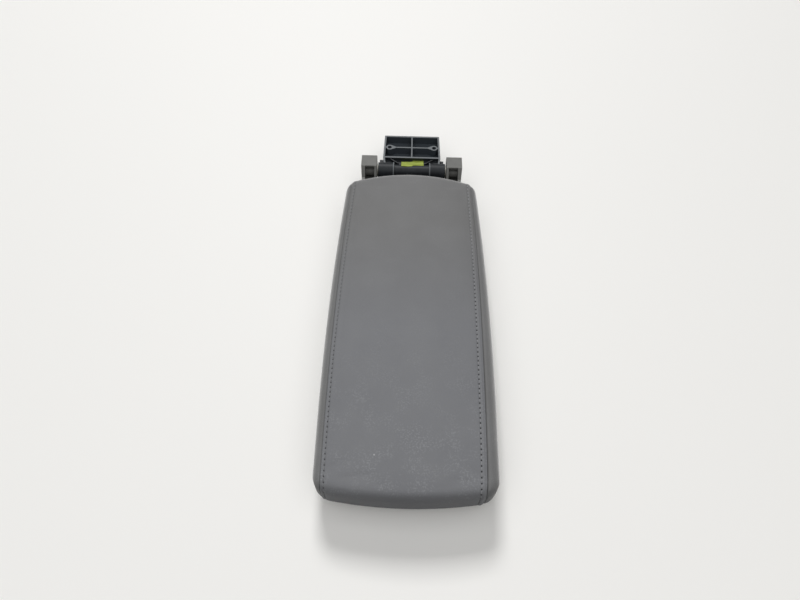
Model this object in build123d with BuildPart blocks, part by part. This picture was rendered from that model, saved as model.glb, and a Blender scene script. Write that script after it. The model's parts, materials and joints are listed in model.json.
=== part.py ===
"""Car centre armrest: a padded lid on a sprung hinge, shown with the hinge folded right out.

X runs across the car, Y from the front nose of the lid to the hinge and Z up, in millimetres.
The origin is on the surface that the armrest lies on, at the middle of its length and width.
"""

import os
from math import acos, cos, pi, sin

from build123d import *

os.makedirs("parts", exist_ok=True)

# Plan outline of the padded lid
lid_length = 339.0
waist_half_width = 75.0
front_taper = 2.0
rear_taper = 7.5
waist_from_front = 126.0
front_bow = 7.0
rear_bow = 12.0
front_corner = 16.0
rear_corner = 14.0
least_corner = 4.0

# Heights, from the surface upwards
buffer_height = 2.0
shell_height = 16.0
pad_height = 36.0

# Cover, foam and carrier
cover_crown = 3.5
top_roll = 14.0
bottom_roll = 5.0
skin = 1.4
skin_clearance = 0.2
turn_under = 20.0
seam_groove = 0.4
seam_front_inset_left = 7.5
seam_front_inset_right = 10.5
seam_waist_inset_left = 7.5
seam_waist_inset_right = 10.0
seam_rear_inset = 5.5
carrier_thickness = 3.0
carrier_inset = 12.0
foam_clearance = 0.3

# Lower shell
shell_inset = 5.0
shell_wall = 2.5
shell_floor = 3.0
shell_edge = 2.5
shoulder_from_side = 6.5
shoulder_depth = 25.0
shoulder_corner = 6.0
rear_wall = 2.8
rear_wall_clearance = 0.5
rear_wall_height = 20.0

# Hinge axis and the ears of the lower shell
axis_setback = 25.7
axis_height = 24.7
ear_spacing = 76.0
ear_width = 17.0
ear_wall = 2.6
ear_taper = 1.8
ear_front = 5.1
ear_rear = 10.7
ear_rise = 12.3
ear_drop = 10.0
ear_round = 8.0
ear_slope = 9.0
arm_rise = 3.4
stop_width = 14.0
stop_thickness = 2.4
stop_depth = 9.0
stop_level = 8.0
stop_gap = 10.2

# Hinge pin, bushes and springs
pin_radius = 3.0
pin_recess = 0.5
pin_boss_radius = 5.4
running_clearance = 0.05
press_clearance = 0.02
bush_wall = 1.2
bush_length = 10.0
flange_radius = 6.5
flange_thickness = 1.0
side_clearance = 0.3
spring_wire = 0.75
spring_radius = 4.7
spring_pitch = 1.9
spring_turns = 4
spring_from_knuckle = 2.1
leg_clearance = 0.25
leg_end = 1.0

# Hinge base
barrel_radius = 9.0
knuckle_length = 17.5
collar_radius = 9.7
collar_width = 1.3
roof_radius = 7.0
roof_wall = 1.2
heel_from_spring = 2.8
heel_front = 9.6
heel_clearance = 0.3
base_drop = 7.0
neck_rise = 0.5
neck_width = 71.0
neck_length = 16.0
plate_width = 62.0
plate_flare = 1.0
plate_length = 35.0
plate_rise = 4.5
plate_wall = 2.0
plate_floor = 2.2
rib = 1.6
cross_rib_from_neck = 16.5
screw_spacing = 50.0
screw_hole_radius = 2.2
boss_radius = 3.9
boss_point = 9.0
cheek_toe_in = 2.0
brace_rear_half = 25.0
brace_front_half = 15.5
brace_rise = 3.5
brace_front = 8.5
tape_length = 24.5
tape_width = 7.5
tape_thickness = 0.3
tape_shift = 1.0
tape_from_plate = 4.5
tape_angle = 2.5

# Latch under the front nose
latch_width = 54.0
latch_gap = 1.0
latch_from_front = 28.0
latch_height = 12.9
latch_plate = 2.5
latch_plate_height = 3.2
latch_plate_rear = 4.5
latch_face_height = 11.0
latch_face = 2.2
latch_rib = 2.5
latch_rib_spacing = 38.0
latch_tube_radius = 3.0
latch_pin_radius = 1.5
latch_boss = 3.5
latch_boss_half_depth = 5.0
latch_side_clearance = 0.4
latch_web = 1.4
notch_rear = 2.5
hook_width = 10.0
hook_shank = 2.0
hook_reach = 5.5
hook_thickness = 2.6
striker_slot_width = 26.0
striker_slot_rear = 13.0
latch_spring_wire = 0.45
latch_spring_radius = 2.6
latch_spring_turns = 5
latch_spring_from_front = 14.0
latch_spigot_clearance = 0.35
latch_spigot_height = 2.5
spring_end_clearance = 0.1

# Screws and buffers
pillar_from_side = 23.5
pillar_from_front = 72.0
pillar_from_rear = 51.0
pillar_radius = 4.0
screw_radius = 1.75
screw_length = 12.0
screw_head_radius = 3.5
screw_head = 1.4
screw_clearance = 0.25
head_recess = 1.6
buffer_front_from_side = 19.0
buffer_rear_from_side = 15.5
buffer_from_front = 40.0
buffer_from_rear = 31.0
buffer_radius = 6.0
buffer_edge = 0.6
buffer_stem = 2.5
buffer_barb = 3.3
buffer_barb_height = 1.5

# Places that follow from the sizes
y_front = -(lid_length + axis_setback + neck_length + plate_length) / 2
y_rear = y_front + lid_length
front_half_width = waist_half_width - front_taper
rear_half_width = waist_half_width - rear_taper
y_waist = y_front + waist_from_front
axis_y = y_rear + axis_setback
axis_z = axis_height
shell_bottom = buffer_height
floor_top = shell_bottom + shell_floor
shell_top = shell_bottom + shell_height
pad_bottom = shell_top
lid_top = pad_bottom + pad_height
carrier_bottom = pad_bottom + skin
rear_arc = (rear_half_width**2 + rear_bow**2) / (2 * rear_bow)
rear_arc_y = y_rear - rear_arc
shoulder_half_width = rear_half_width - shoulder_from_side
ear_inner = ear_spacing / 2
ear_outer = ear_inner + ear_width
pocket_width = ear_width - 2 * ear_wall - ear_taper
knuckle_outer = ear_inner - side_clearance - flange_thickness
knuckle_inner = knuckle_outer - knuckle_length
base_bottom = axis_z - base_drop
neck_top = axis_z + neck_rise
rib_top = axis_z + plate_rise
plate_front = axis_y + neck_length
plate_rear = plate_front + plate_length
plate_middle = (plate_front + plate_rear) / 2
plate_front_half = plate_width / 2 + plate_flare
screw_y = plate_front + cross_rib_from_neck
leg_z = axis_z - spring_radius
leg_lean = spring_pitch / (2 * pi * spring_radius)
spring_end = knuckle_inner - spring_from_knuckle
spring_start = spring_end - spring_turns * spring_pitch
heel_half_width = spring_start - heel_from_spring
lid_leg = axis_setback - rear_wall_clearance - leg_end
base_leg = neck_length - leg_end - plate_wall
latch_y = y_front + latch_from_front
web_bottom = shell_top - latch_web
latch_half = latch_width / 2
boss_inner = latch_half + latch_gap + latch_side_clearance
boss_outer = boss_inner + latch_boss
latch_spring_y = y_front + latch_spring_from_front
pillar_x = rear_half_width - pillar_from_side
pillar_rows = (y_front + pillar_from_front, (y_front + y_rear) / 2, y_rear - pillar_from_rear)
pillars = [(side * pillar_x, y) for side in (-1, 1) for y in pillar_rows]
buffer_front_x = front_half_width - buffer_front_from_side
buffer_rear_x = rear_half_width - buffer_rear_from_side
buffers = {
    "buffer_front_left": (-buffer_front_x, y_front + buffer_from_front),
    "buffer_front_right": (buffer_front_x, y_front + buffer_from_front),
    "buffer_rear_left": (-buffer_rear_x, y_rear - buffer_from_rear),
    "buffer_rear_right": (buffer_rear_x, y_rear - buffer_from_rear),
}


def save(piece, name):
    """Label a finished piece and write its STEP file."""
    piece.part.label = name
    export_step(piece.part, f"parts/{name}.step")


def lid_plan(inset):
    """Outline of the lid seen from above, drawn in by an even inset."""
    half_front = front_half_width - inset
    half_waist = waist_half_width - inset
    half_rear = rear_half_width - inset
    front_y = y_front + inset
    rear_y = y_rear - inset
    with BuildSketch() as plan:
        with BuildLine():
            front = ThreePointArc((-half_front, front_y + front_bow), (0, front_y), (half_front, front_y + front_bow))
            right = ThreePointArc(front @ 1, (half_waist, y_waist), (half_rear, rear_y - rear_bow))
            rear = ThreePointArc(right @ 1, (0, rear_y), (-half_rear, rear_y - rear_bow))
            ThreePointArc(rear @ 1, (-half_waist, y_waist), front @ 0)
        make_face()
        fillet(plan.vertices().group_by(Axis.Y)[0], max(front_corner - inset, least_corner))
        fillet(plan.vertices().group_by(Axis.Y)[-1], max(rear_corner - inset, least_corner))
    return plan.sketch


def shell_plan(inset):
    """Outline of the lower shell, with the shoulder that carries the hinge ears behind the pad."""
    with BuildSketch() as shoulder:
        with Locations((0, rear_arc_y)):
            Circle(rear_arc + rear_wall_clearance + rear_wall - inset)
        with Locations((0, y_rear)):
            Rectangle(2 * (shoulder_half_width - inset), 2 * shoulder_depth, mode=Mode.INTERSECT)
        fillet(shoulder.vertices().group_by(Axis.Y)[-1], shoulder_corner - inset)
    with BuildSketch() as plan:
        add(lid_plan(shell_inset + inset))
        add(shoulder.sketch)
    return plan.sketch, shoulder.sketch


turn_outline = lid_plan(turn_under)
carrier_outline = lid_plan(carrier_inset)
foam_hollow = lid_plan(carrier_inset - foam_clearance)
shell_outline, shoulder_outline = shell_plan(0)
cavity_outline = shell_plan(shell_wall)[0]
paddle_outline = lid_plan(shell_inset)
paddle_hollow = lid_plan(shell_inset + latch_face)


def pad_form(inset, bottom):
    """The padded shape, drawn in by an even inset and standing on its own underside."""
    crown = lid_top - inset
    outline = lid_plan(inset)
    with BuildPart() as form:
        with BuildSketch(Plane.XY.offset(bottom)):
            add(outline)
        extrude(amount=crown - bottom)
        with BuildSketch(Plane.XZ):
            with BuildLine():
                crown_arc = ThreePointArc(
                    (-waist_half_width, crown - cover_crown), (0, crown), (waist_half_width, crown - cover_crown)
                )
                Polyline(
                    crown_arc @ 1, (waist_half_width, bottom), (-waist_half_width, bottom), crown_arc @ 0
                )
            make_face()
        extrude(amount=lid_length, both=True, mode=Mode.INTERSECT)
        fillet(form.faces().sort_by(Axis.Z)[-1].edges(), top_roll - inset)
        fillet(form.faces().sort_by(Axis.Z)[0].edges(), bottom_roll - inset)
    return form.part


def side_field(side, front_inset, waist_inset, groove):
    """Plan field outside one seam, which is moved inwards by the seam's groove."""
    with BuildSketch() as field:
        with BuildLine():
            seam = ThreePointArc(
                (side * (front_half_width - front_inset - groove), y_front),
                (side * (waist_half_width - waist_inset - groove), y_waist),
                (side * (rear_half_width - seam_rear_inset - groove), y_rear),
            )
            Polyline(
                seam @ 1,
                (2 * side * waist_half_width, y_rear),
                (2 * side * waist_half_width, y_front),
                seam @ 0,
            )
        make_face()
    return field.sketch


# Leather cover: one skin pulled over the pad and turned under the carrier, in three sewn panels
with BuildPart() as cover:
    add(pad_form(0, pad_bottom))
    add(pad_form(skin, pad_bottom + skin), mode=Mode.SUBTRACT)
    with BuildSketch(Plane.XY.offset(pad_bottom)):
        add(turn_outline)
    extrude(amount=skin, mode=Mode.SUBTRACT)

left_field = side_field(-1, seam_front_inset_left, seam_waist_inset_left, 0)
right_field = side_field(1, seam_front_inset_right, seam_waist_inset_right, 0)
left_groove_field = side_field(-1, seam_front_inset_left, seam_waist_inset_left, seam_groove)
right_groove_field = side_field(1, seam_front_inset_right, seam_waist_inset_right, seam_groove)

with BuildPart() as cover_left_panel:
    add(cover.part)
    with BuildSketch(Plane.XY.offset(pad_bottom)):
        add(left_field)
    extrude(amount=pad_height, mode=Mode.INTERSECT)
save(cover_left_panel, "cover_left_panel")

with BuildPart() as cover_right_panel:
    add(cover.part)
    with BuildSketch(Plane.XY.offset(pad_bottom)):
        add(right_field)
    extrude(amount=pad_height, mode=Mode.INTERSECT)
save(cover_right_panel, "cover_right_panel")

with BuildPart() as cover_top_panel:
    add(cover.part)
    with BuildSketch(Plane.XY.offset(pad_bottom)):
        add(left_groove_field)
        add(right_groove_field)
    extrude(amount=pad_height, mode=Mode.SUBTRACT)
save(cover_top_panel, "cover_top_panel")

# Carrier plate inside the cover, with pillars down to the floor of the lower shell
with BuildPart() as pad_carrier:
    with BuildSketch(Plane.XY.offset(carrier_bottom)):
        add(carrier_outline)
    extrude(amount=carrier_thickness)
    with BuildSketch(Plane.XY.offset(floor_top)):
        with Locations(*pillars):
            Circle(pillar_radius)
    extrude(amount=carrier_bottom - floor_top)
    with BuildSketch(Plane.XY.offset(floor_top)):
        with Locations(*pillars):
            Circle(screw_radius + running_clearance)
    extrude(amount=screw_length, mode=Mode.SUBTRACT)
save(pad_carrier, "pad_carrier")

# Foam moulded over the carrier
with BuildPart() as foam_pad:
    add(pad_form(skin + skin_clearance, carrier_bottom))
    with BuildSketch(Plane.XY.offset(carrier_bottom)):
        add(foam_hollow)
    extrude(amount=carrier_thickness, mode=Mode.SUBTRACT)
save(foam_pad, "foam_pad")

# Lower shell: a tray with a raised rear wall, two hollow ears, a hinge stop and the latch housing
with BuildPart() as lower_shell:
    with BuildSketch(Plane.XY.offset(shell_bottom)):
        add(shell_outline)
    extrude(amount=shell_height)
    fillet(lower_shell.faces().sort_by(Axis.Z)[0].edges(), shell_edge)
    with BuildSketch(Plane.XY.offset(shell_top)):
        add(shoulder_outline)
        with Locations((0, rear_arc_y)):
            Circle(rear_arc + rear_wall_clearance, mode=Mode.SUBTRACT)
    extrude(amount=rear_wall_height)
    for side in (-1, 1):
        with BuildSketch(Plane.YZ.offset(side * ear_inner)):
            with BuildLine():
                Polyline(
                    (y_rear - shoulder_depth / 2, axis_z - ear_drop),
                    (axis_y + ear_rear, axis_z - ear_drop),
                    (axis_y + ear_rear, axis_z + ear_rise),
                    (axis_y - ear_front, axis_z + ear_rise),
                    (axis_y - ear_front - ear_slope, axis_z + arm_rise),
                    (y_rear - shoulder_depth / 2, axis_z + arm_rise),
                    close=True,
                )
            ear_face = make_face()
            fillet(ear_face.vertices().sort_by_distance((side * ear_inner, axis_y + ear_rear, 0))[0], ear_round)
        extrude(amount=side * ear_width)
    with BuildSketch(Plane.YZ):
        with BuildLine():
            Polyline(
                (y_rear - shell_wall, axis_z - stop_level),
                (axis_y - stop_gap, axis_z - stop_level),
                (axis_y - stop_gap, axis_z - stop_level - stop_thickness),
                (y_rear - shell_wall, axis_z - stop_level - stop_depth),
                close=True,
            )
        make_face()
    extrude(amount=stop_width / 2, both=True)
    with BuildSketch(Plane.XY.offset(shell_top)):
        with Locations((0, rear_arc_y)):
            Circle(rear_arc + rear_wall_clearance)
        with Locations((0, y_rear)):
            Rectangle(2 * ear_outer + 2 * ear_wall, 2 * shoulder_depth, mode=Mode.INTERSECT)
    extrude(amount=pad_height, mode=Mode.SUBTRACT)
    with BuildSketch(Plane.XY.offset(floor_top)):
        add(cavity_outline)
    extrude(amount=shell_height - shell_floor, mode=Mode.SUBTRACT)
    for side in (-1, 1):
        with BuildSketch(Plane.YZ.offset(side * (ear_inner + ear_wall))):
            with BuildLine():
                Polyline(
                    (y_rear + rear_wall_clearance, axis_z - ear_drop + ear_wall),
                    (axis_y + ear_rear - ear_wall, axis_z - ear_drop + ear_wall),
                    (axis_y + ear_rear - ear_wall, axis_z + ear_rise - ear_wall),
                    (axis_y - ear_front, axis_z + ear_rise - ear_wall),
                    (axis_y - ear_front, lid_top),
                    (y_rear + rear_wall_clearance, lid_top),
                    close=True,
                )
            pocket = make_face()
            fillet(
                pocket.vertices().sort_by_distance((side * ear_inner, axis_y + ear_rear, 0))[0],
                ear_round - ear_wall,
            )
        extrude(amount=side * pocket_width, mode=Mode.SUBTRACT)
        with BuildSketch(Plane.YZ.offset(side * (ear_inner + ear_wall))):
            with Locations((axis_y, axis_z)):
                Circle(pin_boss_radius)
        extrude(amount=side * pocket_width)
        with BuildSketch(Plane.XY):
            with BuildLine():
                Polyline(
                    (side * ear_outer, axis_y - ear_front),
                    (side * (ear_outer - ear_taper), y_rear),
                    (side * ear_outer, y_rear),
                    close=True,
                )
            make_face()
        extrude(amount=lid_top, mode=Mode.SUBTRACT)
    with BuildSketch(Plane.YZ):
        with Locations((axis_y, axis_z)):
            Circle(pin_radius + press_clearance)
    extrude(amount=ear_outer, both=True, mode=Mode.SUBTRACT)
    with BuildSketch(Plane.XZ.offset(-y_rear)):
        for side in (-1, 1):
            with Locations((side * (spring_start - leg_lean * lid_leg), leg_z)):
                Circle(spring_wire + leg_clearance)
    extrude(amount=-axis_setback / 2, mode=Mode.SUBTRACT)
    with BuildSketch(Plane.XY.offset(web_bottom)):
        with Locations((0, y_front)):
            Rectangle(2 * boss_outer, 2 * (latch_from_front + latch_boss_half_depth))
        add(shell_outline, mode=Mode.INTERSECT)
    extrude(amount=latch_web)
    with BuildSketch(Plane.XY.offset(floor_top)):
        for side in (-1, 1):
            with Locations((side * (boss_inner + boss_outer) / 2, latch_y)):
                Rectangle(latch_boss, 2 * latch_boss_half_depth)
    extrude(amount=web_bottom - floor_top)
    with BuildSketch(Plane.YZ):
        with Locations((latch_y, latch_height)):
            Circle(latch_pin_radius + press_clearance)
    extrude(amount=boss_outer, both=True, mode=Mode.SUBTRACT)
    with BuildSketch(Plane.XY):
        with Locations((0, y_front)):
            Rectangle(latch_width + 2 * latch_gap, 2 * (latch_from_front - notch_rear))
    extrude(amount=web_bottom, mode=Mode.SUBTRACT)
    with BuildSketch(Plane.XY):
        with Locations((0, latch_y)):
            Rectangle(striker_slot_width, 2 * striker_slot_rear)
    extrude(amount=floor_top, mode=Mode.SUBTRACT)
    with BuildSketch(Plane.XY.offset(web_bottom)):
        with Locations((0, latch_spring_y)):
            Circle(latch_spring_radius - latch_spring_wire - latch_spigot_clearance)
    extrude(amount=-latch_spigot_height)
    with BuildSketch(Plane.XY):
        with Locations(*pillars):
            Circle(screw_radius + screw_clearance)
        with Locations(*buffers.values()):
            Circle(buffer_stem + running_clearance)
    extrude(amount=floor_top, mode=Mode.SUBTRACT)
    with BuildSketch(Plane.XY):
        with Locations(*pillars):
            Circle(screw_head_radius + screw_clearance)
    extrude(amount=shell_bottom + head_recess, mode=Mode.SUBTRACT)
save(lower_shell, "lower_shell")

# Screws through the floor of the lower shell into the pillars
with BuildPart() as shell_screws:
    with BuildSketch(Plane.XY.offset(shell_bottom + head_recess)):
        with Locations(*pillars):
            Circle(screw_head_radius)
    extrude(amount=-screw_head)
    with BuildSketch(Plane.XY.offset(shell_bottom + head_recess)):
        with Locations(*pillars):
            Circle(screw_radius)
    extrude(amount=screw_length)
save(shell_screws, "shell_screws")

# Rubber buffers pressed into the floor of the lower shell
for name, (x, y) in buffers.items():
    with BuildPart() as buffer:
        with BuildSketch(Plane.XY):
            with Locations((x, y)):
                Circle(buffer_radius)
        extrude(amount=buffer_height)
        chamfer(buffer.faces().sort_by(Axis.Z)[0].edges(), buffer_edge)
        with BuildSketch(Plane.XY.offset(shell_bottom)):
            with Locations((x, y)):
                Circle(buffer_stem)
        extrude(amount=shell_floor)
        with BuildSketch(Plane.XY.offset(floor_top)):
            with Locations((x, y)):
                Circle(buffer_barb)
        extrude(amount=buffer_barb_height)
    save(buffer, name)

# Latch lever: a paddle behind the front wall, turning on a tube, with the hook under the tube
with BuildPart() as latch_lever:
    with BuildSketch(Plane.XY.offset(latch_plate_height)):
        with Locations((0, y_front)):
            Rectangle(latch_width, 2 * (latch_from_front - latch_plate_rear))
        add(paddle_outline, mode=Mode.INTERSECT)
    extrude(amount=latch_plate)
    with BuildSketch(Plane.XY.offset(latch_plate_height)):
        with Locations((0, y_front)):
            Rectangle(latch_width, 2 * (latch_from_front - latch_plate_rear))
        add(paddle_outline, mode=Mode.INTERSECT)
        add(paddle_hollow, mode=Mode.SUBTRACT)
    extrude(amount=latch_face_height - latch_plate_height)
    for side in (-1, 1):
        with BuildSketch(Plane.YZ.offset(side * latch_rib_spacing / 2)):
            with BuildLine():
                Polyline(
                    (latch_spring_y, latch_plate_height),
                    (latch_y - latch_plate_rear, latch_plate_height),
                    (latch_y, latch_height - latch_tube_radius),
                    (latch_y, latch_height + latch_tube_radius / 2),
                    (latch_spring_y, latch_plate_height + latch_plate),
                    close=True,
                )
            make_face()
        extrude(amount=latch_rib / 2, both=True)
    with BuildSketch(Plane.YZ):
        with Locations((latch_y, latch_height)):
            Circle(latch_tube_radius)
    extrude(amount=latch_half + latch_gap, both=True)
    with BuildSketch(Plane.YZ):
        with BuildLine():
            Polyline(
                (latch_y - hook_shank, latch_height),
                (latch_y + hook_shank, latch_height),
                (latch_y + hook_shank, latch_plate_height + hook_thickness),
                (latch_y + hook_reach, latch_plate_height + hook_thickness),
                (latch_y + hook_shank, latch_plate_height),
                (latch_y - hook_shank, latch_plate_height),
                close=True,
            )
        make_face()
    extrude(amount=hook_width / 2, both=True)
    with BuildSketch(Plane.XY.offset(latch_plate_height + latch_plate)):
        with Locations((0, latch_spring_y)):
            Circle(latch_spring_radius - latch_spring_wire - latch_spigot_clearance)
    extrude(amount=latch_spigot_height)
    with BuildSketch(Plane.YZ):
        with Locations((latch_y, latch_height)):
            Circle(latch_pin_radius + running_clearance)
    extrude(amount=latch_width, both=True, mode=Mode.SUBTRACT)
save(latch_lever, "latch_lever")

with BuildPart() as latch_pin:
    with BuildSketch(Plane.YZ):
        with Locations((latch_y, latch_height)):
            Circle(latch_pin_radius)
    extrude(amount=boss_outer, both=True)
save(latch_pin, "latch_pin")

# Compression spring between the lever and the housing above it
latch_spring_bottom = latch_plate_height + latch_plate + latch_spring_wire + spring_end_clearance
latch_spring_height = web_bottom - latch_spring_wire - spring_end_clearance - latch_spring_bottom
with BuildPart() as latch_spring:
    with BuildLine(Plane((0, latch_spring_y, latch_spring_bottom))) as latch_coil:
        Helix(latch_spring_height / latch_spring_turns, latch_spring_height, latch_spring_radius)
    with BuildSketch(Plane(latch_coil.line @ 0, z_dir=latch_coil.line % 0)):
        Circle(latch_spring_wire)
    sweep(path=latch_coil.line, is_frenet=True)
save(latch_spring, "latch_spring")

def plate_plan(inset):
    """Outline of the screw plate, a little wider at the neck, drawn in by an even inset."""
    with BuildSketch() as plan:
        with BuildLine():
            Polyline(
                (inset - plate_front_half, plate_front + inset),
                (plate_front_half - inset, plate_front + inset),
                (plate_width / 2 - inset, plate_rear - inset),
                (inset - plate_width / 2, plate_rear - inset),
                close=True,
            )
        make_face()
    return plan.sketch


# Hinge base: barrel knuckles, a roof over the springs, a braced neck and the ribbed screw plate
with BuildPart() as hinge_base:
    for side in (-1, 1):
        with BuildSketch(Plane.YZ.offset(side * knuckle_inner)):
            with Locations((axis_y, axis_z)):
                Circle(barrel_radius)
        extrude(amount=side * knuckle_length)
        with BuildSketch(Plane.YZ.offset(side * knuckle_inner)):
            with Locations((axis_y, axis_z)):
                Circle(collar_radius)
        extrude(amount=side * collar_width)
    with BuildSketch(Plane.YZ):
        with Locations((axis_y, axis_z)):
            Circle(roof_radius)
    extrude(amount=knuckle_inner, both=True)
    heel_bottom = axis_z - stop_level + heel_clearance
    with BuildSketch(Plane.YZ):
        with BuildLine():
            Polyline(
                (axis_y - heel_front, heel_bottom),
                (axis_y - roof_radius + roof_wall, heel_bottom),
                (axis_y - roof_radius + roof_wall, neck_top),
                (axis_y - roof_radius, neck_top),
                close=True,
            )
        make_face()
    extrude(amount=heel_half_width, both=True)
    with BuildSketch(Plane.XY.offset(base_bottom)):
        with Locations((0, axis_y + neck_length / 2)):
            Rectangle(neck_width, neck_length)
    extrude(amount=neck_top - base_bottom)
    with BuildSketch(Plane.XY.offset(base_bottom)):
        add(plate_plan(0))
    extrude(amount=rib_top - base_bottom)
    with BuildSketch(Plane.XY.offset(base_bottom)):
        for side in (-1, 1):
            with BuildLine():
                Polyline(
                    (side * plate_front_half, plate_front),
                    (side * (plate_front_half - plate_wall), plate_front),
                    (side * (plate_front_half - plate_wall - cheek_toe_in), axis_y),
                    (side * (plate_front_half - cheek_toe_in), axis_y),
                    close=True,
                )
            make_face()
    extrude(amount=rib_top - base_bottom)
    with BuildSketch(Plane.XY.offset(neck_top)):
        for side in (-1, 1):
            with BuildLine():
                Polyline(
                    (side * brace_rear_half, plate_front),
                    (side * (brace_rear_half - rib), plate_front),
                    (side * (brace_front_half - rib), axis_y + brace_front),
                    (side * brace_front_half, axis_y + brace_front),
                    close=True,
                )
            make_face()
    extrude(amount=brace_rise - neck_rise)
    with BuildSketch(Plane.XY.offset(rib_top)):
        add(plate_plan(plate_wall))
        with Locations((0, plate_middle)):
            Rectangle(rib, plate_length, mode=Mode.SUBTRACT)
        with Locations((0, screw_y)):
            Rectangle(neck_width, rib, mode=Mode.SUBTRACT)
        for side in (-1, 1):
            boss_x = side * screw_spacing / 2
            tangent_angle = acos(boss_radius / boss_point)
            tangent_x = boss_x - side * boss_radius * cos(tangent_angle)
            tangent_y = boss_radius * sin(tangent_angle)
            with Locations((boss_x, screw_y)):
                Circle(boss_radius, mode=Mode.SUBTRACT)
            with BuildLine():
                Polyline(
                    (tangent_x, screw_y - tangent_y),
                    (boss_x - side * boss_point, screw_y),
                    (tangent_x, screw_y + tangent_y),
                    close=True,
                )
            make_face(mode=Mode.SUBTRACT)
    extrude(amount=base_bottom + plate_floor - rib_top, mode=Mode.SUBTRACT)
    with BuildSketch(Plane.XY.offset(base_bottom)):
        with Locations((-screw_spacing / 2, screw_y), (screw_spacing / 2, screw_y)):
            Circle(screw_hole_radius)
    extrude(amount=rib_top - base_bottom, mode=Mode.SUBTRACT)
    with BuildSketch(Plane.YZ):
        with Locations((axis_y, axis_z)):
            Circle(roof_radius - roof_wall)
        with Locations((axis_y, leg_z + spring_wire + leg_clearance)):
            Rectangle(2 * (roof_radius - roof_wall), barrel_radius, align=(Align.CENTER, Align.MAX))
    extrude(amount=knuckle_inner, both=True, mode=Mode.SUBTRACT)
    with BuildSketch(Plane.YZ):
        with Locations((axis_y, axis_z)):
            Circle(pin_radius + running_clearance + bush_wall + press_clearance)
    extrude(amount=knuckle_outer, both=True, mode=Mode.SUBTRACT)
    for side in (-1, 1):
        with BuildSketch(Plane((side * spring_end, axis_y, leg_z), z_dir=(side * leg_lean, 1, 0))):
            Circle(spring_wire + leg_clearance)
        extrude(amount=base_leg + leg_end, mode=Mode.SUBTRACT)
save(hinge_base, "hinge_base")

# Strip of marking tape on the neck, between the braces
with BuildPart() as marking_tape:
    with BuildSketch(Plane.XY.offset(neck_top)):
        with Locations(Location((tape_shift, plate_front - tape_from_plate, 0), tape_angle)):
            Rectangle(tape_length, tape_width)
    extrude(amount=tape_thickness)
save(marking_tape, "marking_tape")

with BuildPart() as hinge_pin:
    with BuildSketch(Plane.YZ):
        with Locations((axis_y, axis_z)):
            Circle(pin_radius)
    extrude(amount=ear_outer - pin_recess, both=True)
save(hinge_pin, "hinge_pin")

# Flanged bushes in the outer ends of the barrel
for side, name in ((-1, "hinge_bush_left"), (1, "hinge_bush_right")):
    with BuildPart() as hinge_bush:
        with BuildSketch(Plane.YZ.offset(side * (knuckle_outer - bush_length))):
            with Locations((axis_y, axis_z)):
                Circle(pin_radius + running_clearance + bush_wall)
        extrude(amount=side * bush_length)
        with BuildSketch(Plane.YZ.offset(side * knuckle_outer)):
            with Locations((axis_y, axis_z)):
                Circle(flange_radius)
        extrude(amount=side * flange_thickness)
        with BuildSketch(Plane.YZ):
            with Locations((axis_y, axis_z)):
                Circle(pin_radius + running_clearance)
        extrude(amount=side * ear_outer, mode=Mode.SUBTRACT)
    save(hinge_bush, name)

# Torsion springs on the pin, each with one leg in the neck and one in the rear wall of the lower shell
with BuildPart() as spring_form:
    with BuildLine() as spring_coil:
        Helix(spring_pitch, spring_turns * spring_pitch, spring_radius)
    with BuildSketch(Plane(spring_coil.line @ 0, z_dir=spring_coil.line % 0)):
        Circle(spring_wire)
    sweep(path=spring_coil.line, is_frenet=True)
    with BuildSketch(Plane(spring_coil.line @ 0, z_dir=spring_coil.line % 0)):
        Circle(spring_wire)
    extrude(amount=-lid_leg)
    with BuildSketch(Plane(spring_coil.line @ 1, z_dir=spring_coil.line % 1)):
        Circle(spring_wire)
    extrude(amount=base_leg)

spring_plane = Plane((spring_start, axis_y, axis_z), x_dir=(0, 0, -1), z_dir=(1, 0, 0))
with BuildPart() as hinge_spring_right:
    add(spring_form.part.moved(spring_plane.location))
save(hinge_spring_right, "hinge_spring_right")

with BuildPart() as hinge_spring_left:
    add(mirror(hinge_spring_right.part, about=Plane.YZ, mode=Mode.PRIVATE))
save(hinge_spring_left, "hinge_spring_left")
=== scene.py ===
"""Looks of a car centre armrest: a leather-covered pad on a grey moulded shell, with a black hinge base.

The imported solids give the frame, in metres: X across the lid, Y from its nose to the hinge and Z up.
Sizes of the pieces are given in millimetres, and those of the room in metres.
"""

import json
from math import cos, pi, radians, sin

import bpy
import numpy as np
from mathutils import Matrix, Vector


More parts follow.
